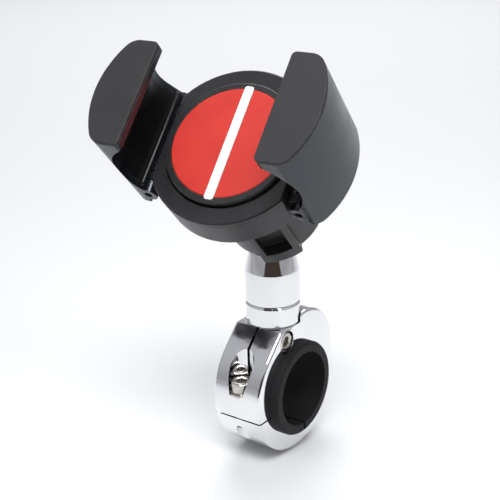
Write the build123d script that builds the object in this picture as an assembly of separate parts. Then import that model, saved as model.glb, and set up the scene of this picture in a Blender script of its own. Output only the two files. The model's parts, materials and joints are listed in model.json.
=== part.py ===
from build123d import *
from math import cos, radians, sin, sqrt
import os

# Phone holder on a ball head, with a stem and a split clamp for a round handlebar.
# Frame: the origin is where the handlebar axis meets the stem axis, +X runs along the
# handlebar, +Z runs up the stem and -Y faces the rider. Millimetres.
#
# The holder head is drawn in its own frame, with its origin at the ball's centre: its z
# points out of the face that the phone rests on, its y points up that face, and its x
# points at the right-hand jaw. head_frame places it in the object's frame.

# ---- handlebar clamp ----
BAR_RADIUS = 12.7            # 25.4 mm (1 inch) handlebar
CLAMP_BORE_RADIUS = 14.3     # 28.6 mm (1 1/8 inch) bore
CLAMP_HALF_WIDTH = 9.2
CLAMP_RADIUS = 22.0
BOSS_TOP = 22.6              # flat that the stem stands on
CLAMP_EDGE_RADIUS = 1.0
HUMP_CENTRE = (5.5, 9.5)     # (y, z) of the raised shoulder behind the stem
HUMP_RADIUS = 16.0
SPLIT_Z = -4.5
SPLIT_GAP = 0.6
CLAMP_SCREW_Y = 18.4
CLAMP_SEAT_Z = 3.0
CLAMP_POCKET_RADIUS = 4.25
PINCH_SCREW_YZ = (-5.5, 18.4)
PINCH_SEAT_X = 5.0
PINCH_POCKET_RADIUS = 3.85
SLIT_WIDTH = 1.0
SLEEVE_FLANGE_RADIUS = 16.1
SLEEVE_FLANGE_THICKNESS = 2.8
SLEEVE_SPLIT = 1.2
FIT = 0.05                   # radial clearance of parts that only slip together

# ---- M4 socket head screws ----
M4_RADIUS = 2.0
M4_HEAD_RADIUS = 3.5
M4_HEAD_HEIGHT = 4.0
M4_HEX_RADIUS = 3.0 / sqrt(3)
M4_HEX_DEPTH = 2.2
WASHER_THICKNESS = 0.8
WASHER_RADIUS = 3.9
CLAMP_SCREW_END = -9.2       # the screws stop inside the lower half's tapped holes

# ---- stem and ball ----
STEM_RADIUS = 9.0
STEM_BAND_TOP = 41.0
STEM_TAPER_TOP = 45.3
STEM_TOP = 49.0
STEM_GROOVE_Z = 29.7
SPIGOT_RADIUS = 4.0
SPIGOT_WAIST_RADIUS = 3.1
SPIGOT_BOTTOM = 14.9
BALL_Z = 62.7
BALL_RADIUS = 8.5
NECK_RADIUS = 3.5
STUD_RADIUS = 2.5
STUD_BOTTOM = 38.5

# ---- head placing ----
HEAD_YAW = 10.4
HEAD_TILT = 45.3
HEAD_ROLL = -2.3

# ---- ball socket ----
LINER_INNER = BALL_RADIUS + FIT
LINER_OUTER = 9.75
SOCKET_RADIUS = 9.8
SOCKET_NECK_RADIUS = 12.6
NUT_BORE_RADIUS = 12.68
NUT_RADIUS = 16.4
NUT_LOBE_RADIUS = 18.8
NUT_BOTTOM = -5.0
NUT_TOP = 16.0
NUT_LOBES = 3
NUT_LOBE_ANGLE = -61.0
NUT_LOBE_WIDTH = 12.8
NUT_WINDOW_WIDTH = 8.6
NUT_WINDOW_FLOOR = 0.5
NUT_WINDOW_DEPTH = 4.0
NUT_LIP_TOP = -2.7
RING_TOP = -0.1
RING_BOTTOM = -2.6

# ---- housing ----
BODY_RADIUS = 26.0
BODY_FLAT = 21.4             # flats that face the jaws
BODY_WALL = 1.9
BODY_BACK = 24.9
BODY_FLOOR = 26.9
BODY_SEAM = 35.5
SEAM_GAP = 0.1
BODY_FRONT = 37.3
FACE_OPENING_RADIUS = 20.8
GUIDE_RADIUS = 3.0
GUIDE_CLEARANCE = 0.06
GUIDE_BOTTOM = 12.5
CASE_SCREW_CIRCLE = 21.5
CASE_SCREW_ANGLES = (55, 125, 235, 305)
CASE_BOSS_RADIUS = 2.8
CASE_SCREW_RADIUS = 1.0
CASE_HEAD_RADIUS = 2.2

# ---- push plate ----
PLATE_RADIUS = 20.3
PLATE_BACK = 36.2
PLATE_FRONT = 39.0
PAD_RADIUS = 18.2
PAD_FLOOR = 37.8
STRIP_HALF_WIDTH = 1.5
STRIP_HALF_LENGTH = 19.0
LEG_X = (10.6, 18.4)
LEG_Y = (4.6, 6.6)
LEG_BOTTOM = 27.2

# ---- jaws and their hinges ----
HINGE_X = 24.6
HINGE_Z = 30.2
BARREL_RADIUS = 2.9
LUG_Y = (10.2, 12.8)         # body lugs, which stand in gaps in the jaw's barrel
LUG_GAP = 0.3
LUG_ROOT_BOTTOM = 27.8       # the lugs' roots stay clear of the jaw at its widest
HINGE_PIN_RADIUS = 1.25
HINGE_PIN_HALF_LENGTH = 14.6
HINGE_PIN_CLEARANCE = 0.06
JAW_LIP_X = 20.9
JAW_OUTER_X = 35.2
JAW_OUTER_RADIUS = 28.9
JAW_HALF_LENGTH = 17.3
JAW_SHIFTS = {"right": 1.9, "left": -0.3}   # of each jaw's middle along its own y
JAW_LIP_CORNER_RADIUS = 1.6
JAW_CORNER_RADIUS = 5.0
JAW_BOTTOM = 25.5
JAW_TOP = 61.0
JAW_FACE_THICKNESS = 1.2
JAW_WALL = 2.0
CHANNEL_CENTRE = (12.9, 43.5)
CHANNEL_RADIUS = 16.2
LINER_THICKNESS = 1.6
ARM_LENGTH = 11.0
ARM_REST_ANGLE = -4.0        # below level, seen along the hinge
ARM_HALF_WIDTH = 3.9
LINK_PIN_RADIUS = 1.0
LINK_SLOT_CLEARANCE = 0.35
SPRING_Y = (4.6, 9.2)
SPRING_WIRE_RADIUS = 0.35
SPRING_MEAN_RADIUS = 1.75

LINK_X = HINGE_X - ARM_LENGTH * cos(radians(ARM_REST_ANGLE))
LINK_Z = HINGE_Z + ARM_LENGTH * sin(radians(ARM_REST_ANGLE))

head_frame = (
    Location((0, 0, BALL_Z))
    * Rotation(0, 0, HEAD_YAW)
    * Rotation(HEAD_TILT, 0, 0)
    * Rotation(0, 0, HEAD_ROLL)
)


# ---- drawing helpers ----
def rod(radius, low, high, x=0, y=0):
    """A round bar along z."""
    return Pos(x, y, (low + high) / 2) * Cylinder(radius, high - low)


def rod_x(radius, low, high, y=0, z=0):
    """A round bar along x."""
    return Pos((low + high) / 2, y, z) * Rotation(0, 90, 0) * Cylinder(radius, high - low)


def rod_y(radius, low, high, x=0, z=0):
    """A round bar along y."""
    return Pos(x, (low + high) / 2, z) * Rotation(90, 0, 0) * Cylinder(radius, high - low)


def block(x, y, z):
    """A box from its low and high limits on each axis."""
    size = [high - low for low, high in (x, y, z)]
    middle = [(high + low) / 2 for low, high in (x, y, z)]
    return Pos(*middle) * Box(*size)


def turned(*points):
    """A solid of revolution about z, from (radius, z) points."""
    outline = make_face(Polyline(*[(r, 0, z) for r, z in points], close=True))
    return revolve(outline, Axis.Z)


def slab(face, low, high):
    """A flat face drawn on z = 0, made into a plate from low to high."""
    return Pos(0, 0, low) * extrude(face, high - low)


def group(solids):
    """Separate solids kept together as one piece."""
    return Compound(children=list(solids))


# ---- handlebar clamp ----
def clamp_outline():
    """The clamp seen along the handlebar, as a face on the YZ plane."""
    tangent = CLAMP_RADIUS / sqrt(2)
    shoulder = CLAMP_RADIUS * sqrt(2) - BOSS_TOP
    hump_y, hump_z = HUMP_CENTRE
    back = hump_y + HUMP_RADIUS
    outline = Circle(CLAMP_RADIUS)
    outline += make_face(Polyline(
        (0, 0), (-tangent, tangent), (-shoulder, BOSS_TOP), (hump_y, BOSS_TOP), close=True))
    outline += Pos(hump_y, hump_z) * Circle(HUMP_RADIUS)
    outline += Pos(back / 2, hump_z / 2 + 2) * Rectangle(back, hump_z - 4)
    return Plane.YZ * outline


def clamp_blank():
    """Both halves in one piece, with rounded outer edges and the handlebar bore."""
    blank = extrude(clamp_outline(), CLAMP_HALF_WIDTH, both=True)
    rims = blank.edges().filter_by(
        lambda edge: abs(abs(edge.center().X) - CLAMP_HALF_WIDTH) < 1e-3)
    blank = fillet(rims, CLAMP_EDGE_RADIUS)
    above = CLAMP_RADIUS + HUMP_RADIUS
    blank -= rod(STEM_RADIUS + 0.5, BOSS_TOP, above)
    blank -= rod_x(CLAMP_BORE_RADIUS, -above, above)
    return blank


def clamp_upper():
    above = CLAMP_RADIUS + HUMP_RADIUS
    half = clamp_blank() & block((-above, above), (-above, above), (SPLIT_Z, above))
    for y in (-CLAMP_SCREW_Y, CLAMP_SCREW_Y):
        half -= rod(M4_RADIUS + 0.2, SPLIT_Z - 1, CLAMP_SEAT_Z + 1, y=y)
        half -= rod(CLAMP_POCKET_RADIUS, CLAMP_SEAT_Z, above, y=y)
    half -= rod(SPIGOT_RADIUS + FIT, 0, above)
    slit_half = SLIT_WIDTH / 2
    half -= block((-slit_half, slit_half), (-above, 0), (CLAMP_SEAT_Z + 5, above))
    pinch_y, pinch_z = PINCH_SCREW_YZ
    half -= rod_x(M4_RADIUS + FIT, -CLAMP_HALF_WIDTH + 2, above, pinch_y, pinch_z)
    half -= rod_x(PINCH_POCKET_RADIUS, PINCH_SEAT_X, above, pinch_y, pinch_z)
    return half


def clamp_lower():
    deep = 2 * CLAMP_RADIUS
    top = SPLIT_Z - SPLIT_GAP
    half = clamp_blank() & block((-deep, deep), (-deep, deep), (-deep, top))
    for y in (-CLAMP_SCREW_Y, CLAMP_SCREW_Y):
        half -= rod(M4_RADIUS + FIT, -deep, 0, y=y)
    return half


def socket_screw(length):
    """An M4 socket head cap screw along -z, with the underside of its head at z = 0."""
    screw = rod(M4_HEAD_RADIUS, 0, M4_HEAD_HEIGHT)
    screw = chamfer(screw.edges().group_by(Axis.Z)[-1], 0.35)
    screw += rod(M4_RADIUS, -length, 0)
    screw = chamfer(screw.edges().group_by(Axis.Z)[0], 0.4)
    socket = slab(RegularPolygon(M4_HEX_RADIUS, 6), M4_HEAD_HEIGHT - M4_HEX_DEPTH, M4_HEAD_HEIGHT)
    return screw - socket


def clamp_screws():
    seat = CLAMP_SEAT_Z + WASHER_THICKNESS
    screw = socket_screw(seat - CLAMP_SCREW_END)
    return group([Pos(0, y, seat) * screw for y in (-CLAMP_SCREW_Y, CLAMP_SCREW_Y)])


def clamp_washers():
    washer = rod(WASHER_RADIUS, CLAMP_SEAT_Z, CLAMP_SEAT_Z + WASHER_THICKNESS)
    washer -= rod(M4_RADIUS + 0.15, 0, CLAMP_SEAT_Z + 2)
    return group([Pos(0, y, 0) * washer for y in (-CLAMP_SCREW_Y, CLAMP_SCREW_Y)])


def pinch_screw():
    pinch_y, pinch_z = PINCH_SCREW_YZ
    screw = Rotation(0, 90, 0) * socket_screw(PINCH_SEAT_X + CLAMP_HALF_WIDTH - 2.5)
    return Pos(PINCH_SEAT_X, pinch_y, pinch_z) * screw


def reducing_sleeve():
    """Split rubber sleeve that fills the bore down to the handlebar, with a flange each side."""
    inner_face = CLAMP_HALF_WIDTH + FIT
    end = inner_face + SLEEVE_FLANGE_THICKNESS
    sleeve = rod_x(CLAMP_BORE_RADIUS - FIT, -end, end)
    for low, high in ((inner_face, end), (-end, -inner_face)):
        flange = rod_x(SLEEVE_FLANGE_RADIUS, low, high)
        outer_rim = [edge for edge in flange.edges().filter_by(GeomType.CIRCLE)
                     if abs(abs(edge.center().X) - end) < 1e-3]
        sleeve += fillet(outer_rim, 1.2)
    sleeve -= rod_x(BAR_RADIUS, -2 * end, 2 * end)
    half_split = SLEEVE_SPLIT / 2
    sleeve -= block((-2 * end, 2 * end), (-half_split, half_split), (-2 * CLAMP_RADIUS, 0))
    return sleeve


# ---- stem and ball ----
def stem():
    pinch_z = PINCH_SCREW_YZ[1]
    waist = (pinch_z - 2.5, pinch_z + 2.5)
    base = BOSS_TOP + FIT
    post = turned(
        (0, SPIGOT_BOTTOM), (SPIGOT_RADIUS, SPIGOT_BOTTOM), (SPIGOT_RADIUS, waist[0]),
        (SPIGOT_WAIST_RADIUS, waist[0]), (SPIGOT_WAIST_RADIUS, waist[1]),
        (SPIGOT_RADIUS, waist[1]), (SPIGOT_RADIUS, base), (STEM_RADIUS - 0.5, base),
        (STEM_RADIUS, base + 0.5), (STEM_RADIUS, STEM_GROOVE_Z - 0.6),
        (STEM_RADIUS - 0.5, STEM_GROOVE_Z), (STEM_RADIUS, STEM_GROOVE_Z + 0.6),
        (STEM_RADIUS, STEM_BAND_TOP), (STEM_RADIUS - 0.6, STEM_TAPER_TOP),
        (STEM_RADIUS - 1.3, STEM_TAPER_TOP + 1.3), (STEM_RADIUS - 4.4, STEM_TOP),
        (0, STEM_TOP))
    return post - rod(STUD_RADIUS, STUD_BOTTOM - 0.5, STEM_TOP + 1)


def ball_stud():
    stud = Pos(0, 0, BALL_Z) * Sphere(BALL_RADIUS)
    stud += rod(NECK_RADIUS, STEM_TOP, BALL_Z)
    stud += rod(STUD_RADIUS - FIT, STUD_BOTTOM, STEM_TOP + 1)
    return stud


# ---- ball socket, drawn in the head's frame ----
def socket_liner():
    """Friction cup over the ball's upper half."""
    cup = Sphere(LINER_OUTER) - Sphere(LINER_INNER)
    wide = 2 * LINER_OUTER
    return cup & block((-wide, wide), (-wide, wide), (2 * FIT, wide))


def pressure_ring():
    """Ring that the nut presses against the ball, just below its widest point."""
    ring = rod(SOCKET_NECK_RADIUS - 0.1, RING_BOTTOM, RING_TOP)
    return ring - Sphere(LINER_INNER)


def nut_lobe(width, inner, outer, low, high):
    """One lobe, or the pocket in it, on the +x side of the nut."""
    return block((inner, outer), (-width / 2, width / 2), (low, high))


def locking_nut():
    nut = rod(NUT_RADIUS, NUT_BOTTOM, NUT_TOP)
    lobe_reach = rod(NUT_LOBE_RADIUS, NUT_BOTTOM, NUT_TOP)
    turns = [Rotation(0, 0, NUT_LOBE_ANGLE + k * 360 / NUT_LOBES) for k in range(NUT_LOBES)]
    for turn in turns:
        lobe = nut_lobe(NUT_LOBE_WIDTH, SOCKET_NECK_RADIUS, 2 * NUT_LOBE_RADIUS, NUT_BOTTOM, NUT_TOP)
        nut += turn * (lobe & lobe_reach)
    nut = chamfer(nut.edges().group_by(Axis.Z)[0], 0.8)
    for turn in turns:
        nut -= turn * nut_lobe(NUT_WINDOW_WIDTH, NUT_LOBE_RADIUS - NUT_WINDOW_DEPTH,
                               2 * NUT_LOBE_RADIUS, NUT_WINDOW_FLOOR, NUT_TOP + 1)
    nut -= rod(NUT_BORE_RADIUS, NUT_LIP_TOP, NUT_TOP + 1)
    nut -= turned((0, NUT_BOTTOM - 1), (13.0, NUT_BOTTOM - 1), (12.0, NUT_BOTTOM),
                  (8.9, NUT_LIP_TOP), (8.9, NUT_LIP_TOP + 1), (0, NUT_LIP_TOP + 1))
    return nut


# ---- housing, drawn in the head's frame ----
def body_outline(radius, flat):
    """The round body with a flat on each side that faces a jaw."""
    return Circle(radius) & Rectangle(2 * flat, 3 * radius)


def case_screw_places():
    return [Rotation(0, 0, angle) * Pos(CASE_SCREW_CIRCLE, 0, 0) for angle in CASE_SCREW_ANGLES]


def hinge_lugs():
    """The four ears that hold the hinge pins."""
    lugs = []
    for side in (-1, 1):
        for low, high in (LUG_Y, (-LUG_Y[1], -LUG_Y[0])):
            root = sorted((side * (BODY_FLAT - 3), side * HINGE_X))
            ear = rod_y(BARREL_RADIUS, low, high, side * HINGE_X, HINGE_Z)
            ear += block(root, (low, high), (LUG_ROOT_BOTTOM, HINGE_Z + BARREL_RADIUS))
            lugs.append(ear)
    return lugs


def rear_housing():
    case = slab(body_outline(BODY_RADIUS, BODY_FLAT), BODY_BACK, BODY_SEAM)
    case = chamfer(case.edges().group_by(Axis.Z)[0], 0.8)
    case += turned((0, 0.2), (SOCKET_NECK_RADIUS, 0.2), (SOCKET_NECK_RADIUS, NUT_TOP + 1.5),
                   (SOCKET_NECK_RADIUS + 5.5, BODY_BACK + 0.5), (0, BODY_BACK + 0.5))
    for lug in hinge_lugs():
        case += lug
    inside = body_outline(BODY_RADIUS - BODY_WALL, BODY_FLAT - BODY_WALL)
    case -= slab(inside, BODY_FLOOR, BODY_SEAM + 1)
    case += rod(GUIDE_RADIUS + 2.4, BODY_FLOOR - 0.5, BODY_FLOOR + 4)
    for place in case_screw_places():
        case += place * rod(CASE_BOSS_RADIUS, BODY_FLOOR - 0.5, BODY_SEAM - 2.4)
    for place in case_screw_places():
        case -= place * rod(CASE_SCREW_RADIUS + 0.3, BODY_BACK - 1, BODY_SEAM)
        case -= place * rod(CASE_HEAD_RADIUS + 0.3, BODY_BACK - 1, BODY_BACK + 1.5)
    case -= Sphere(SOCKET_RADIUS)
    case -= rod(GUIDE_RADIUS + GUIDE_CLEARANCE, GUIDE_BOTTOM - 0.4, BODY_SEAM)
    window_half = ARM_HALF_WIDTH + 0.5
    for side in (-1, 1):
        gap = sorted((side * (BODY_FLAT - BODY_WALL - 1), side * (BODY_FLAT + 1)))
        case -= block(gap, (-window_half, window_half), (HINGE_Z - 2, BODY_SEAM + 1))
        case -= rod_y(HINGE_PIN_RADIUS, -LUG_Y[1] - 1, LUG_Y[1] + 1, side * HINGE_X, HINGE_Z)
    return case


def front_ring():
    ring = slab(body_outline(BODY_RADIUS, BODY_FLAT), BODY_SEAM + SEAM_GAP, BODY_FRONT)
    ring = chamfer(ring.edges().group_by(Axis.Z)[-1], 0.5)
    skirt = body_outline(BODY_RADIUS - BODY_WALL - 0.1, BODY_FLAT - BODY_WALL - 0.1)
    skirt -= Circle(FACE_OPENING_RADIUS + 1.2)
    for part in slab(skirt, BODY_SEAM - 1.6, BODY_SEAM + 0.5).solids():
        ring += part
    ring -= rod(FACE_OPENING_RADIUS, BODY_SEAM - 3, BODY_FRONT + 1)
    for place in case_screw_places():
        ring += place * rod(CASE_BOSS_RADIUS - 0.6, BODY_SEAM - 2.3, BODY_SEAM + 0.6)
    for place in case_screw_places():
        ring -= place * rod(CASE_SCREW_RADIUS, BODY_SEAM - 3, BODY_SEAM + 1)
    return ring


def case_screws():
    low = BODY_BACK + 0.2
    seat = BODY_BACK + 1.5
    screw = rod(CASE_HEAD_RADIUS, low, seat) + rod(CASE_SCREW_RADIUS - 0.02, low, BODY_SEAM + 0.8)
    for angle in (0, 90):
        screw -= Rotation(0, 0, angle) * block((-1.3, 1.3), (-0.25, 0.25), (low - 1, low + 0.7))
    return group([place * screw for place in case_screw_places()])


# ---- push plate, drawn in the head's frame ----
def push_plate():
    plate = rod(PLATE_RADIUS, PLATE_BACK, PLATE_FRONT)
    plate = chamfer(plate.edges().group_by(Axis.Z)[-1], 0.4)
    plate -= rod(PAD_RADIUS + FIT, PAD_FLOOR, PLATE_FRONT + 1)
    length = STRIP_HALF_LENGTH + FIT
    width = STRIP_HALF_WIDTH + FIT
    plate -= block((-width, width), (-length, length), (PAD_FLOOR, PLATE_FRONT + 1))
    plate += rod(GUIDE_RADIUS, GUIDE_BOTTOM, PLATE_BACK + 0.5)
    slot_half = LINK_PIN_RADIUS + LINK_SLOT_CLEARANCE
    for side in (-1, 1):
        for y in (LEG_Y, (-LEG_Y[1], -LEG_Y[0])):
            x = sorted((side * LEG_X[0], side * LEG_X[1]))
            slot = sorted((side * (LINK_X - slot_half), side * (LINK_X + 2.6 + slot_half)))
            plate += block(x, y, (LEG_BOTTOM, PLATE_BACK + 0.5))
            plate -= block(slot, y, (LINK_Z - slot_half, LINK_Z + slot_half))
    return plate


def grip_pad(side):
    """One half of the red rubber disc, beside the centre strip."""
    disc = rod(PAD_RADIUS, PAD_FLOOR, PLATE_FRONT + 0.1)
    edge = STRIP_HALF_WIDTH + FIT
    x = sorted((side * edge, side * 2 * PAD_RADIUS))
    pad = disc & block(x, (-2 * PAD_RADIUS, 2 * PAD_RADIUS), (PAD_FLOOR, PLATE_FRONT + 1))
    return chamfer(pad.edges().group_by(Axis.Z)[-1], 0.25)


def centre_strip():
    strip = block((-STRIP_HALF_WIDTH, STRIP_HALF_WIDTH), (-STRIP_HALF_LENGTH, STRIP_HALF_LENGTH),
                  (PAD_FLOOR, PLATE_FRONT + 0.3))
    strip = fillet(strip.edges().filter_by(Axis.Z), 0.9)
    return chamfer(strip.edges().group_by(Axis.Z)[-1], 0.2)


# ---- jaws, drawn in the head's frame on the +x side ----
def jaw_outline(shift, inset=0.0):
    """The D shape of a jaw, seen from the front."""
    centre = JAW_OUTER_X - JAW_OUTER_RADIUS
    low = JAW_LIP_X + inset
    width = 2 * JAW_OUTER_RADIUS
    frame = Pos(low + width / 2, 0) * Rectangle(width, 2 * (JAW_HALF_LENGTH - inset))
    outline = frame & (Pos(centre, 0) * Circle(JAW_OUTER_RADIUS - inset))
    corners = outline.vertices().sort_by(Axis.X)
    outline = fillet(corners[2:], JAW_CORNER_RADIUS - inset)
    if inset == 0:
        outline = fillet(outline.vertices().sort_by(Axis.X)[:2], JAW_LIP_CORNER_RADIUS)
    return Pos(0, shift) * outline


def jaw_arm():
    """Lever that reaches under the push plate, with an eye for the link pin."""
    arm = rod_y(2.0, -ARM_HALF_WIDTH, ARM_HALF_WIDTH, LINK_X, LINK_Z)
    web = block((-ARM_LENGTH, 0), (-ARM_HALF_WIDTH, ARM_HALF_WIDTH), (-1.2, 0.9))
    arm += Pos(HINGE_X, 0, HINGE_Z) * Rotation(0, ARM_REST_ANGLE, 0) * web
    return arm


def jaw_shell(shift):
    """Outer wall, end walls, hinge barrel and lever of a jaw, moulded in one piece."""
    shell = slab(jaw_outline(shift), JAW_BOTTOM, JAW_TOP - JAW_FACE_THICKNESS)
    end = JAW_HALF_LENGTH + 3
    cavity_top = JAW_TOP - JAW_FACE_THICKNESS - JAW_WALL
    shell -= slab(jaw_outline(shift, JAW_WALL), HINGE_Z + 4.2, cavity_top)
    shell -= rod_y(CHANNEL_RADIUS, -end, end, *CHANNEL_CENTRE)
    shell -= block((0, HINGE_X + 1.0), (-end, end), (JAW_BOTTOM - 1, HINGE_Z + 2))
    shell -= block((HINGE_X + 4.2, JAW_OUTER_X - 2.4), (-8.6, 8.6), (JAW_BOTTOM - 1, HINGE_Z + 2.6))
    shell += rod_y(BARREL_RADIUS, shift - JAW_HALF_LENGTH, shift + JAW_HALF_LENGTH, HINGE_X, HINGE_Z)
    near, far = LUG_Y[0] - LUG_GAP, LUG_Y[1] + LUG_GAP
    for low, high in ((near, far), (-far, -near)):
        shell -= rod_y(BARREL_RADIUS + 0.35, low, high, HINGE_X, HINGE_Z)
    shell += jaw_arm()
    shell -= rod_y(HINGE_PIN_RADIUS + HINGE_PIN_CLEARANCE, -end, end, HINGE_X, HINGE_Z)
    shell -= rod_y(LINK_PIN_RADIUS, -end, end, LINK_X, LINK_Z)
    pocket = SPRING_MEAN_RADIUS + SPRING_WIRE_RADIUS + 0.35
    shell -= rod_y(pocket, *SPRING_Y, HINGE_X, HINGE_Z)
    return shell


def jaw_face(shift):
    """Soft matte facing on the front of a jaw."""
    face = slab(jaw_outline(shift), JAW_TOP - JAW_FACE_THICKNESS, JAW_TOP)
    return fillet(face.edges().group_by(Axis.Z)[-1], 0.35)


def jaw_liner(shift):
    """Smooth curved lining of a jaw, which the phone's edge bears on."""
    half = JAW_HALF_LENGTH - JAW_WALL - FIT
    low, high = shift - half, shift + half
    liner = rod_y(CHANNEL_RADIUS + LINER_THICKNESS, low, high, *CHANNEL_CENTRE)
    liner -= rod_y(CHANNEL_RADIUS, low - 1, high + 1, *CHANNEL_CENTRE)
    cavity_top = JAW_TOP - JAW_FACE_THICKNESS - JAW_WALL
    room = slab(jaw_outline(shift, JAW_WALL + FIT), HINGE_Z + 4.2 + FIT, cavity_top - FIT)
    return liner & room


def hinge_pin():
    return rod_y(HINGE_PIN_RADIUS, -HINGE_PIN_HALF_LENGTH, HINGE_PIN_HALF_LENGTH, HINGE_X, HINGE_Z)


def link_pin():
    return rod_y(LINK_PIN_RADIUS, -LEG_Y[1] - 0.4, LEG_Y[1] + 0.4, LINK_X, LINK_Z)


def torsion_spring():
    """Coil on the hinge pin that closes the jaw."""
    low, high = SPRING_Y
    height = high - low - 2 * SPRING_WIRE_RADIUS - 0.4
    coil = Helix(pitch=2.4 * SPRING_WIRE_RADIUS, height=height, radius=SPRING_MEAN_RADIUS)
    section = Plane(origin=coil @ 0, z_dir=coil % 0) * Circle(SPRING_WIRE_RADIUS)
    spring = sweep(section, path=coil, is_frenet=True)
    return Pos(HINGE_X, high - SPRING_WIRE_RADIUS - 0.2, HINGE_Z) * Rotation(90, 0, 0) * spring


def jaw_pieces(shift):
    """One jaw with its pins and spring, on the +x side."""
    return {
        "jaw_shell": jaw_shell(shift),
        "jaw_face": jaw_face(shift),
        "jaw_liner": jaw_liner(shift),
        "hinge_pin": hinge_pin(),
        "link_pin": link_pin(),
        "torsion_spring": torsion_spring(),
    }


# ---- the whole object ----
clamp_pieces = {
    "clamp_upper": clamp_upper(),
    "clamp_lower": clamp_lower(),
    "clamp_screws": clamp_screws(),
    "clamp_washers": clamp_washers(),
    "pinch_screw": pinch_screw(),
    "reducing_sleeve": reducing_sleeve(),
    "stem": stem(),
    "ball_stud": ball_stud(),
}
head_pieces = {
    "socket_liner": socket_liner(),
    "pressure_ring": pressure_ring(),
    "locking_nut": locking_nut(),
    "rear_housing": rear_housing(),
    "front_ring": front_ring(),
    "case_screws": case_screws(),
    "push_plate": push_plate(),
    "left_pad": grip_pad(-1),
    "right_pad": grip_pad(1),
    "centre_strip": centre_strip(),
}

os.makedirs("parts", exist_ok=True)
for name, piece in clamp_pieces.items():
    export_step(piece, f"parts/{name}.step")
for name, piece in head_pieces.items():
    export_step(head_frame * piece, f"parts/{name}.step")
for side, half_turn in (("right", 0), ("left", 180)):
    for name, piece in jaw_pieces(JAW_SHIFTS[side]).items():
        export_step(head_frame * Rotation(0, 0, half_turn) * piece, f"parts/{side}_{name}.step")
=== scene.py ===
import json
from math import cos, pi, radians, sin

import bmesh
import bpy
from mathutils import Matrix, Vector


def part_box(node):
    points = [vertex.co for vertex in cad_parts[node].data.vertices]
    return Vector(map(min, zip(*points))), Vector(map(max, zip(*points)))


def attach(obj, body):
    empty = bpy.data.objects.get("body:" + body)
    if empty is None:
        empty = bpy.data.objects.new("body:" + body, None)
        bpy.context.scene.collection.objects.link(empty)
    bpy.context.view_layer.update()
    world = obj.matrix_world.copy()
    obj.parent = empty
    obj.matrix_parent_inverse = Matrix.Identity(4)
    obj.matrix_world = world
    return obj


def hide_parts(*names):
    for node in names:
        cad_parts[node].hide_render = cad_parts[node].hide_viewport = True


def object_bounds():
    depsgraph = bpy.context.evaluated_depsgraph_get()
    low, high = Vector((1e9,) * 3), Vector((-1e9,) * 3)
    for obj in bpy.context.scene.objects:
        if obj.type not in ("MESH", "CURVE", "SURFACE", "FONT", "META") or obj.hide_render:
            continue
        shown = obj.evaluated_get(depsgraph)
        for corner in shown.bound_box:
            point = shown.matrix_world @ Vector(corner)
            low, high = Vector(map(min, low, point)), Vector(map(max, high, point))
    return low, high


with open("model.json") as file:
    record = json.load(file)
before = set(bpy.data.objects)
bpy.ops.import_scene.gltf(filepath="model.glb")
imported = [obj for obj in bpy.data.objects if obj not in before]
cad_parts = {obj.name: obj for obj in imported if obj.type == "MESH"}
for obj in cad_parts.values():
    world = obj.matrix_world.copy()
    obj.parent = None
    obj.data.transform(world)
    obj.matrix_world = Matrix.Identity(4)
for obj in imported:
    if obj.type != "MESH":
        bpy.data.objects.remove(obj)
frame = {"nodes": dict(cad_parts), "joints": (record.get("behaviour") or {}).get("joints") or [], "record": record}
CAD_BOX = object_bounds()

MM = 0.001


# ---- where things are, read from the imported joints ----
JOINTS = {joint["name"]: joint for joint in frame["joints"]}
BALL = Vector(JOINTS["head_spin"]["pos_m"])
HEAD_Z = Vector(JOINTS["head_spin"]["axis"]).normalized()
HEAD_Y = Vector(JOINTS["right_jaw_open"]["axis"]).normalized()
HEAD_X = HEAD_Y.cross(HEAD_Z)
HEAD = Matrix.Translation(BALL) @ Matrix((HEAD_X, HEAD_Y, HEAD_Z)).transposed().to_4x4()


# ---- camera, lights, floor and cards: metres, watts and degrees ----
CAMERA_PLACE = Vector((0.20249, -0.28507, 0.17929))
CAMERA_ANGLE = 24.42
CAMERA_AZIMUTH = 36.545
CAMERA_ELEVATION = 20.722
CAMERA_ROLL = -1.571

SKY_STRENGTH = 0.72
SKY_NADIR = (0.66, 0.66, 0.68, 1)
SKY_ZENITH = (0.76, 0.77, 0.81, 1)
SKY_BANDS = (
    (0.08, (0.48, 0.48, 0.50, 1)),
    (0.26, (0.52, 0.525, 0.545, 1)),
    (0.45, (0.62, 0.63, 0.66, 1)),
)

OVERHEAD = {"place": (-0.50, 0.75, 1.00), "target": (-0.2, 0.3, 0), "size": 1.1, "power": 11.5}
KEY = {
    "place": (0.16, -0.27, 0.56),
    "target": (0.03, -0.02, 0.09),
    "size": 0.26,
    "power": 0.46,
    "spread": 70,
}
HINGE_GLINT = {
    "place": HEAD @ Vector((0.215, 0.108, 0.333)),
    "target": HEAD @ Vector((-0.0246, 0, 0.033)),
    "size": 0.14,
    "power": 0.32,
}

FLOOR_SIZE = 6
FLOOR_GAP = 0.5 * MM
FLOOR_COLOR = (0.71, 0.715, 0.725)
FLOOR_DARK = (0.70, 0.705, 0.715)
FLOOR_LIGHT = (0.72, 0.725, 0.735)
FLOOR_ROUGHNESS = 0.6

# The patch of the clamp's sloping front that mirrors the first card, in millimetres
FLANK_CORNERS = ((-9.5, -8.0, 23.2), (9.5, -8.0, 23.2), (6.5, -13.4, 17.8), (-9.5, -11.6, 19.6))
FLANK_NORMAL = (0, -1, 1)
FLANK_REACH = 0.35
FLANK_CARD_COLOR = (0.012, 0.012, 0.014)

LOW_CARD_HALF_WIDTH = 0.28
LOW_CARD_TOP_SHARE = 0.55
LOW_CARD_HEIGHT = 0.17
LOW_CARD_MIDDLE = Vector((0.178, -0.240, 0))
LOW_CARD_ALONG = Vector((0.80, 0.60, 0))
LOW_CARD_COLOR = (0.035, 0.022, 0.015)
CARD_ROUGHNESS = 0.9


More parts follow.
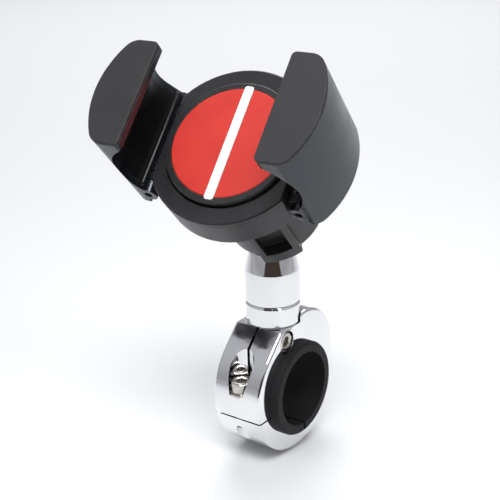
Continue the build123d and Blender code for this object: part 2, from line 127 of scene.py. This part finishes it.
# ---- materials ----
def new_material(name, color, roughness, metallic=0.0, **sockets):
    """A Principled material. Returns it with its node tree and shader."""
    made = bpy.data.materials.new(name)
    made.use_nodes = True
    tree = made.node_tree
    shader = tree.nodes["Principled BSDF"]
    shader.inputs["Base Color"].default_value = (*color, 1)
    shader.inputs["Roughness"].default_value = roughness
    shader.inputs["Metallic"].default_value = metallic
    for socket, value in sockets.items():
        shader.inputs[socket.replace("_", " ")].default_value = value
    return made, tree, shader


def noise(tree, scale, detail=4.0, stretch=None):
    """A noise pattern in object space, scale in features per metre."""
    coordinates = tree.nodes.new("ShaderNodeTexCoord")
    texture = tree.nodes.new("ShaderNodeTexNoise")
    texture.inputs["Scale"].default_value = scale
    texture.inputs["Detail"].default_value = detail
    if stretch is None:
        tree.links.new(coordinates.outputs["Object"], texture.inputs["Vector"])
    else:
        mapping = tree.nodes.new("ShaderNodeMapping")
        mapping.inputs["Scale"].default_value = stretch
        tree.links.new(coordinates.outputs["Object"], mapping.inputs["Vector"])
        tree.links.new(mapping.outputs["Vector"], texture.inputs["Vector"])
    return texture.outputs["Fac"]


def remap(tree, value, low, high, start=0.3, end=0.7):
    """Stretches start..end of a value onto low..high."""
    node = tree.nodes.new("ShaderNodeMapRange")
    node.inputs["From Min"].default_value = start
    node.inputs["From Max"].default_value = end
    node.inputs["To Min"].default_value = low
    node.inputs["To Max"].default_value = high
    tree.links.new(value, node.inputs["Value"])
    return node.outputs["Result"]


def mix_colors(tree, value, first, second):
    """The first color where the value is 0, and the second where it is 1."""
    node = tree.nodes.new("ShaderNodeMix")
    node.data_type = "RGBA"
    node.inputs["A"].default_value = (*first, 1)
    node.inputs["B"].default_value = (*second, 1)
    tree.links.new(value, node.inputs["Factor"])
    return node.outputs["Result"]


def add_bump(tree, shader, height, strength, distance):
    """Bumps as high as the distance, in metres, on a shader's surface."""
    bump = tree.nodes.new("ShaderNodeBump")
    bump.inputs["Strength"].default_value = strength
    bump.inputs["Distance"].default_value = distance
    tree.links.new(height, bump.inputs["Height"])
    tree.links.new(bump.outputs["Normal"], shader.inputs["Normal"])


def edge_mask(tree, radius, low=0.86, high=0.995):
    """1 on sharp edges and 0 on open faces, from how far a rounded normal leans away."""
    rounded = tree.nodes.new("ShaderNodeBevel")
    rounded.samples = 4
    rounded.inputs["Radius"].default_value = radius
    surface = tree.nodes.new("ShaderNodeNewGeometry")
    lean = tree.nodes.new("ShaderNodeVectorMath")
    lean.operation = "DOT_PRODUCT"
    tree.links.new(rounded.outputs["Normal"], lean.inputs[0])
    tree.links.new(surface.outputs["Normal"], lean.inputs[1])
    return remap(tree, lean.outputs["Value"], 1, 0, low, high)


def multiply(tree, first, second):
    """The product of two values."""
    node = tree.nodes.new("ShaderNodeMath")
    node.operation = "MULTIPLY"
    tree.links.new(first, node.inputs[0])
    tree.links.new(second, node.inputs[1])
    return node.outputs["Value"]


def chrome():
    """Polished plating, with faint smears and a little waviness."""
    made, tree, shader = new_material("chrome", (0.83, 0.835, 0.85), 0.05, 1.0)
    smear = noise(tree, 120, 3)
    tree.links.new(remap(tree, smear, 0.025, 0.085), shader.inputs["Roughness"])
    patches = remap(tree, noise(tree, 60, 2), 0, 1)
    tint = mix_colors(tree, patches, (0.80, 0.805, 0.82), (0.86, 0.865, 0.875))
    tree.links.new(tint, shader.inputs["Base Color"])
    add_bump(tree, shader, noise(tree, 140, 2), 0.06, 0.0003)
    return made


def turned_steel(name, color, roughness):
    """Turned and plated steel, with fine streaks and darker worn patches."""
    made, tree, shader = new_material(name, color, roughness, 1.0)
    streaks = noise(tree, 900, 3, (1, 1, 6))
    dull = tuple(0.72 * channel for channel in color)
    patches = remap(tree, noise(tree, 500, 4), 0, 1)
    tree.links.new(mix_colors(tree, patches, dull, color), shader.inputs["Base Color"])
    polish = remap(tree, streaks, roughness - 0.08, roughness + 0.1)
    tree.links.new(polish, shader.inputs["Roughness"])
    add_bump(tree, shader, streaks, 0.15, 0.00003)
    return made


def moulded(name, dark, light, roughness, grain, strength, wear=0.0, **sockets):
    """Injection moulded plastic: fine spark-eroded grain, cloudy patches and rubbed edges."""
    made, tree, shader = new_material(name, dark, roughness, **sockets)
    clouds = noise(tree, 70, 5)
    color = mix_colors(tree, remap(tree, clouds, 0, 1), dark, light)
    if wear > 0:
        patchy = remap(tree, noise(tree, 420, 5), 0, wear, 0.42, 0.7)
        rubbed = multiply(tree, edge_mask(tree, 0.5 * MM), patchy)
        worn = tuple(min(1.0, 0.09 + 1.5 * channel) for channel in light)
        node = tree.nodes.new("ShaderNodeMix")
        node.data_type = "RGBA"
        tree.links.new(color, node.inputs["A"])
        node.inputs["B"].default_value = (*worn, 1)
        tree.links.new(rubbed, node.inputs["Factor"])
        color = node.outputs["Result"]
    tree.links.new(color, shader.inputs["Base Color"])
    tree.links.new(remap(tree, clouds, roughness - 0.05, roughness + 0.07), shader.inputs["Roughness"])
    add_bump(tree, shader, noise(tree, grain, 2), strength, 0.00004)
    return made


COOL = (0.80, 0.89, 1.0, 1)
MATERIALS = {
    "chrome": chrome(),
    "ball_steel": turned_steel("ball_steel", (0.62, 0.63, 0.64), 0.2),
    "fastener_steel": turned_steel("fastener_steel", (0.66, 0.63, 0.58), 0.24),
    "black_rubber": moulded(
        "black_rubber", (0.007, 0.007, 0.008), (0.013, 0.013, 0.0145),
        0.58, 2500, 0.5, Specular_IOR_Level=0.2),
    "housing_plastic": moulded(
        "housing_plastic", (0.012, 0.0123, 0.0135), (0.018, 0.0184, 0.020),
        0.36, 3500, 0.4, wear=0.8, Specular_IOR_Level=0.4),
    "jaw_plastic": moulded(
        "jaw_plastic", (0.006, 0.0068, 0.0095), (0.009, 0.0100, 0.0135),
        0.23, 3500, 0.2, wear=0.9, Specular_Tint=COOL),
    "liner_plastic": moulded(
        "liner_plastic", (0.006, 0.006, 0.007), (0.009, 0.009, 0.010),
        0.22, 1200, 0.08, Specular_IOR_Level=0.22),
    "soft_touch": moulded(
        "soft_touch", (0.020, 0.0204, 0.0215), (0.028, 0.0285, 0.030),
        0.62, 4500, 0.8, wear=1.0, Specular_IOR_Level=0.3),
    "red_rubber": moulded(
        "red_rubber", (0.49, 0.027, 0.018), (0.56, 0.033, 0.023),
        0.5, 3000, 0.35, Specular_IOR_Level=0.3),
    "white_strip": moulded(
        "white_strip", (0.86, 0.86, 0.86), (0.92, 0.92, 0.92),
        0.2, 600, 0.05),
    "nylon": moulded(
        "nylon", (0.62, 0.60, 0.53), (0.70, 0.68, 0.62),
        0.45, 2000, 0.2),
}


# ---- edge rounding for each slot, in millimetres ----
EDGE_ROUNDING = {
    "chrome": 0.22,
    "housing_plastic": 0.18,
    "jaw_plastic": 0.3,
    "soft_touch": 0.15,
    "black_rubber": 0.2,
    "fastener_steel": 0.08,
    "white_strip": 0.06,
    "red_rubber": 0.08,
}
WELD_DISTANCE = 0.001
SHARP_EDGE_DEGREES = 34


def round_edges(node, width):
    """Breaks the sharp edges of a moulded or machined piece, as modifiers on its own mesh."""
    weld = node.modifiers.new("weld", "WELD")
    weld.merge_threshold = WELD_DISTANCE * MM
    bevel = node.modifiers.new("edges", "BEVEL")
    bevel.width = width * MM
    bevel.segments = 2
    bevel.limit_method = "ANGLE"
    bevel.angle_limit = radians(SHARP_EDGE_DEGREES)
    bevel.miter_outer = "MITER_ARC"
    smooth = node.modifiers.new("normals", "WEIGHTED_NORMAL")
    smooth.keep_sharp = False
    smooth.weight = 100


def dress_cad_nodes():
    """Gives each CAD node its slot's material and small rounded edges."""
    for part in frame["record"]["subparts"]:
        node = frame["nodes"][part["node"]]
        slot_name = part["material_slot"]
        node.data.materials.clear()
        node.data.materials.append(MATERIALS[slot_name])
        for face in node.data.polygons:
            face.use_smooth = True
        if slot_name in EDGE_ROUNDING:
            round_edges(node, EDGE_ROUNDING[slot_name])


# ---- turned pieces ----
def turn_profile(made, profile, segments, ripple=None):
    """Adds a surface of revolution about z. ripple gives each point's share of the knurling."""
    rings = []
    for index, (radius, height) in enumerate(profile):
        if radius == 0:
            rings.append([made.verts.new((0, 0, height))])
            continue
        ring = []
        for step in range(segments):
            angle = 2 * pi * step / segments
            reach = radius - (ripple[index] * (step % 2) if ripple else 0)
            ring.append(made.verts.new((reach * cos(angle), reach * sin(angle), height)))
        rings.append(ring)
    for below, above in zip(rings, rings[1:]):
        for step in range(segments):
            after = (step + 1) % segments
            corners = [below[step % len(below)], below[after % len(below)],
                       above[after % len(above)], above[step % len(above)]]
            made.faces.new(list(dict.fromkeys(corners)))


def finish_piece(name, made, slot, place=Matrix()):
    """Turns a bmesh drawn in millimetres into an object in metres with the slot's material."""
    made.transform(Matrix.Scale(MM, 4) @ place)
    bmesh.ops.recalc_face_normals(made, faces=made.faces)
    mesh = bpy.data.meshes.new(name)
    made.to_mesh(mesh)
    made.free()
    mesh.materials.append(MATERIALS[slot])
    piece = bpy.data.objects.new(name, mesh)
    bpy.context.scene.collection.objects.link(piece)
    return piece


def smooth_by_angle(piece, degrees):
    """Smooth shading that still breaks at edges sharper than the angle."""
    mesh = piece.data
    made = bmesh.new()
    made.from_mesh(mesh)
    for face in made.faces:
        face.smooth = True
    for edge in made.edges:
        edge.smooth = edge.calc_face_angle(0) < radians(degrees)
    made.to_mesh(mesh)
    made.free()


def rounded(profile, corner, radius, steps=5):
    """Replaces one corner of a profile by a parabolic run of points."""
    before, point, after = (Vector(profile[corner + k]) for k in (-1, 0, 1))
    start = point + (before - point).normalized() * radius
    end = point + (after - point).normalized() * radius
    run = []
    for step in range(steps + 1):
        share = step / steps
        rest = 1 - share
        run.append(tuple(rest ** 2 * start + 2 * share * rest * point + share ** 2 * end))
    return profile[:corner] + run + profile[corner + 1:]


# ---- the stem, in millimetres ----
STEM_SEGMENTS = 128
STEM_SHARP_DEGREES = 24
SPIGOT_RADIUS = 4.0
SPIGOT_NECK_RADIUS = 3.1
SPIGOT_NECK = (1.0, 6.0)
STEM_HEIGHT = 26.35
FOOT_CHAMFER = 0.5
GROOVE_ABOVE_FOOT = 7.05
GROOVE_DEPTH = 0.5
GROOVE_HALF_WIDTH = 0.6
TAPER_HEIGHT = 8.0
TAPER_INWARD = 1.7
TOP_DROP = 1.6
TOP_INWARD = 4.4
TAPER_CORNER, TOP_CORNER = 12, 13
TAPER_ROUNDING, TOP_ROUNDING = 0.35, 0.9


def build_stem():
    """The plated stem, turned smooth, with its groove, its long taper and a radiused top."""
    low, high = (corner.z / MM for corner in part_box("stem"))
    radius = (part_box("stem")[1].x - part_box("stem")[0].x) / 2 / MM
    foot = high - STEM_HEIGHT
    groove = foot + GROOVE_ABOVE_FOOT
    neck_low, neck_high = (low + height for height in SPIGOT_NECK)
    profile = [
        (0, low),
        (SPIGOT_RADIUS, low),
        (SPIGOT_RADIUS, neck_low),
        (SPIGOT_NECK_RADIUS, neck_low),
        (SPIGOT_NECK_RADIUS, neck_high),
        (SPIGOT_RADIUS, neck_high),
        (SPIGOT_RADIUS, foot),
        (radius - FOOT_CHAMFER, foot),
        (radius, foot + FOOT_CHAMFER),
        (radius, groove - GROOVE_HALF_WIDTH),
        (radius - GROOVE_DEPTH, groove),
        (radius, groove + GROOVE_HALF_WIDTH),
        (radius, high - TAPER_HEIGHT),
        (radius - TAPER_INWARD, high - TOP_DROP),
        (radius - TOP_INWARD, high),
        (0, high),
    ]
    profile = rounded(profile, TOP_CORNER, TOP_ROUNDING)
    profile = rounded(profile, TAPER_CORNER, TAPER_ROUNDING)
    made = bmesh.new()
    turn_profile(made, profile, STEM_SEGMENTS)
    piece = finish_piece("stem_turned", made, "chrome")
    smooth_by_angle(piece, STEM_SHARP_DEGREES)
    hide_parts("stem")
    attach(piece, "stem")


# ---- cap screws, in millimetres ----
HEAD_SEGMENTS = 72
SCREW_SHARP_DEGREES = 32
SCREW_RADIUS = 2.0
SCREW_CHAMFER = 0.4
SCREW_HEAD = 3.5
SCREW_HEAD_HEIGHT = 4.0
KNURL_DEPTH = 0.13
PLAIN_SHANK = 2
THREAD_PITCH = 0.7
THREAD_DEPTH = 0.3
SOCKET_RIM = 2.05
SOCKET_RINGS = ((1.78, 0.2), (1.73, 0.3), (1.73, 2.2))
SOCKET_DEPTH = 2.6


def hexagon(reach, steps):
    """Points along the rim of a hexagon that reaches that far at its corners, as (x, y)."""
    corners = [reach * Vector((cos(k * pi / 3), sin(k * pi / 3))) for k in range(7)]
    per_side = steps // 6
    shares = [step / per_side for step in range(per_side)]
    return [start.lerp(end, share) for start, end in zip(corners, corners[1:]) for share in shares]


def screw_profile(length):
    """A cap screw's outline from its tip to its socket's rim, and which points are knurled."""
    tip = -length
    first = tip + SCREW_CHAMFER
    profile = [(0, tip), (SCREW_RADIUS - SCREW_CHAMFER, tip), (SCREW_RADIUS, first)]
    for turn in range(int((length - PLAIN_SHANK) / THREAD_PITCH)):
        z = first + turn * THREAD_PITCH
        profile.append((SCREW_RADIUS - THREAD_DEPTH, z + THREAD_PITCH / 2))
        profile.append((SCREW_RADIUS, z + THREAD_PITCH))
    shoulder = len(profile)
    top = SCREW_HEAD_HEIGHT
    profile += [
        (SCREW_RADIUS, 0),
        (SCREW_HEAD - 0.2, 0),
        (SCREW_HEAD, 0.25),
        (SCREW_HEAD, top - 0.75),
        (SCREW_HEAD - 0.12, top - 0.45),
        (SCREW_HEAD - 0.4, top - 0.12),
        (SCREW_HEAD - 0.75, top),
        (SOCKET_RIM, top),
    ]
    ripple = [0.0] * len(profile)
    ripple[shoulder + 2] = ripple[shoulder + 3] = KNURL_DEPTH
    return profile, ripple


def add_socket(screw):
    """Sinks a hexagon socket into a screw's head, from the last ring of its outline."""
    top = SCREW_HEAD_HEIGHT
    screw.verts.ensure_lookup_table()
    rim = [screw.verts[k] for k in range(len(screw.verts) - HEAD_SEGMENTS, len(screw.verts))]
    for reach, depth in SOCKET_RINGS:
        ring = [screw.verts.new((*point, top - depth)) for point in hexagon(reach, HEAD_SEGMENTS)]
        for step in range(HEAD_SEGMENTS):
            after = (step + 1) % HEAD_SEGMENTS
            screw.faces.new((rim[step], rim[after], ring[after], ring[step]))
        rim = ring
    floor = screw.verts.new((0, 0, top - SOCKET_DEPTH))
    for step in range(HEAD_SEGMENTS):
        screw.faces.new((rim[step], rim[(step + 1) % HEAD_SEGMENTS], floor))


def add_cap_screw(made, length, place):
    """A knurled socket head cap screw along -z, with the underside of its head at z = 0."""
    screw = bmesh.new()
    profile, ripple = screw_profile(length)
    turn_profile(screw, profile, HEAD_SEGMENTS, ripple)
    add_socket(screw)
    screw.transform(place)
    passing = bpy.data.meshes.new("screw")
    screw.to_mesh(passing)
    screw.free()
    made.from_mesh(passing)
    bpy.data.meshes.remove(passing)


def finish_screws(name, made, node):
    """Puts finished screws in place of the clamp's CAD node of plain ones."""
    screws = finish_piece(name, made, "fastener_steel")
    smooth_by_angle(screws, SCREW_SHARP_DEGREES)
    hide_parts(node)
    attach(screws, "clamp")


def build_cap_screws():
    """The two clamp screws and the pinch screw, with knurled heads and hexagon sockets."""
    low, high = (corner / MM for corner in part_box("clamp_screws"))
    seat = high.z - SCREW_HEAD_HEIGHT
    made = bmesh.new()
    for y in (low.y + SCREW_HEAD, high.y - SCREW_HEAD):
        add_cap_screw(made, seat - low.z, Matrix.Translation((0, y, seat)))
    finish_screws("clamp_cap_screws", made, "clamp_screws")

    low, high = (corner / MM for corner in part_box("pinch_screw"))
    middle = (low + high) / 2
    seat = high.x - SCREW_HEAD_HEIGHT
    made = bmesh.new()
    turn = Matrix.Rotation(radians(90), 4, "Y")
    add_cap_screw(made, seat - low.x, Matrix.Translation((seat, middle.y, middle.z)) @ turn)
    finish_screws("pinch_cap_screw", made, "pinch_screw")


# ---- jaw beads, in millimetres. The shift is along the hinge ----
BEAD_SEGMENTS = 40
BEAD_SHARP_DEGREES = 40
BEAD_RADIUS = 1.15
BEAD_HALF_LENGTH = 16.6
BEAD_OUTWARD = 1.0
BEAD_ABOVE_HINGE = 4.0
BEAD_SHIFT = {"right": 1.9, "left": 0.3}


def build_bead(side, outward):
    """The glossy rounded bead that runs along a jaw's foot, just above its hinge."""
    low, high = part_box(side + "_hinge_pin")
    sideways = outward * BEAD_OUTWARD * HEAD_X + BEAD_SHIFT[side] * HEAD_Y
    middle = (low + high) / 2 + MM * (sideways + BEAD_ABOVE_HINGE * HEAD_Z)
    angles = [k * pi / 12 for k in range(7)]
    cap = [(BEAD_RADIUS * sin(a), BEAD_RADIUS * (1 - cos(a)) - BEAD_HALF_LENGTH) for a in angles]
    profile = cap + [(radius, -height) for radius, height in reversed(cap)]
    made = bmesh.new()
    turn_profile(made, profile, BEAD_SEGMENTS)
    turn = Vector((0, 0, 1)).rotation_difference(HEAD_Y).to_matrix().to_4x4()
    place = Matrix.Translation(middle / MM) @ turn
    bead = finish_piece(side + "_jaw_bead", made, "liner_plastic", place)
    smooth_by_angle(bead, BEAD_SHARP_DEGREES)
    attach(bead, side + "_jaw")


# ---- camera, lights and floor ----
def place_camera():
    """Looks at the front of the mount from its right and a little above."""
    camera = bpy.data.objects.new("camera", bpy.data.cameras.new("camera"))
    bpy.context.scene.collection.objects.link(camera)
    camera.data.angle = radians(CAMERA_ANGLE)
    camera.data.clip_start = 0.01
    turn = Matrix.Rotation(radians(CAMERA_AZIMUTH), 4, "Z")
    tip = Matrix.Rotation(radians(90 - CAMERA_ELEVATION), 4, "X")
    roll = Matrix.Rotation(radians(CAMERA_ROLL), 4, "Z")
    camera.matrix_world = Matrix.Translation(CAMERA_PLACE) @ turn @ tip @ roll
    bpy.context.scene.camera = camera


def area_light(name, place, target, size, power, spread=180):
    """A round area light that faces its target."""
    light = bpy.data.lights.new(name, "AREA")
    light.shape = "DISK"
    light.size = size
    light.energy = power
    light.spread = radians(spread)
    holder = bpy.data.objects.new(name, light)
    bpy.context.scene.collection.objects.link(holder)
    holder.location = place
    aim = Vector(target) - Vector(place)
    holder.rotation_euler = aim.to_track_quat("-Z", "Y").to_euler()


def light_scene():
    """A pale tent, darkest near the horizon, with a large light behind and two small ones in front."""
    world = bpy.data.worlds.new("studio")
    world.use_nodes = True
    bpy.context.scene.world = world
    tree = world.node_tree
    direction = tree.nodes.new("ShaderNodeTexCoord")
    split = tree.nodes.new("ShaderNodeSeparateXYZ")
    ramp = tree.nodes.new("ShaderNodeValToRGB")
    stops = ramp.color_ramp.elements
    stops[0].position = 0.0
    stops[0].color = SKY_NADIR
    stops[1].position = 1.0
    stops[1].color = SKY_ZENITH
    for position, color in SKY_BANDS:
        stops.new(position).color = color
    background = tree.nodes["Background"]
    background.inputs["Strength"].default_value = SKY_STRENGTH
    tree.links.new(direction.outputs["Generated"], split.inputs["Vector"])
    tree.links.new(split.outputs["Z"], ramp.inputs["Fac"])
    tree.links.new(ramp.outputs["Color"], background.inputs["Color"])
    area_light("overhead", **OVERHEAD)
    area_light("key", **KEY)
    area_light("hinge_glint", **HINGE_GLINT)


def stage_sheet(name, sheet, material):
    """Turns a bmesh into an object that belongs to the stage, not to the mount."""
    mesh = bpy.data.meshes.new(name)
    sheet.to_mesh(mesh)
    sheet.free()
    mesh.materials.append(material)
    made = bpy.data.objects.new(name, mesh)
    bpy.context.scene.collection.objects.link(made)
    return made


def lay_floor():
    """A pale surface under the object."""
    material, tree, shader = new_material("floor", FLOOR_COLOR, FLOOR_ROUGHNESS)
    cloud = mix_colors(tree, noise(tree, 3, 2), FLOOR_DARK, FLOOR_LIGHT)
    tree.links.new(cloud, shader.inputs["Base Color"])
    sheet = bmesh.new()
    bmesh.ops.create_grid(sheet, x_segments=2, y_segments=2, size=FLOOR_SIZE)
    floor = stage_sheet("floor", sheet, material)
    floor.location.z = CAD_BOX[0].z - FLOOR_GAP


def hang_card(name, corners, color):
    """A dark four-sided studio card that shows only in reflections."""
    sheet = bmesh.new()
    sheet.faces.new([sheet.verts.new(corner) for corner in corners])
    card = stage_sheet(name, sheet, new_material(name, color, CARD_ROUGHNESS)[0])
    card.visible_camera = False
    card.visible_diffuse = False
    card.visible_shadow = False


def mirrored(corner, normal, reach):
    """Where the camera's line of sight to a corner goes on to, once a face there mirrors it."""
    place = Vector(corner) * MM
    look = (place - CAMERA_PLACE).normalized()
    return place + reach * (look - 2 * look.dot(normal) * normal)


def hang_cards():
    """One card above the clamp's sloping front, and one low down on the camera's side."""
    normal = Vector(FLANK_NORMAL).normalized()
    hung = [mirrored(corner, normal, FLANK_REACH) for corner in FLANK_CORNERS]
    hang_card("flank_card", hung, FLANK_CARD_COLOR)

    across = LOW_CARD_HALF_WIDTH * LOW_CARD_ALONG
    narrow = LOW_CARD_TOP_SHARE * across
    low = CAD_BOX[0].z
    high = low + LOW_CARD_HEIGHT
    corners = [
        (LOW_CARD_MIDDLE - across, low),
        (LOW_CARD_MIDDLE + across, low),
        (LOW_CARD_MIDDLE + narrow, high),
        (LOW_CARD_MIDDLE - narrow, high),
    ]
    hang_card("low_card", [(place.x, place.y, z) for place, z in corners], LOW_CARD_COLOR)


place_camera()
light_scene()
lay_floor()
hang_cards()
dress_cad_nodes()
build_stem()
build_cap_screws()
build_bead("right", 1)
build_bead("left", -1)
bpy.context.scene.view_settings.view_transform = "Standard"
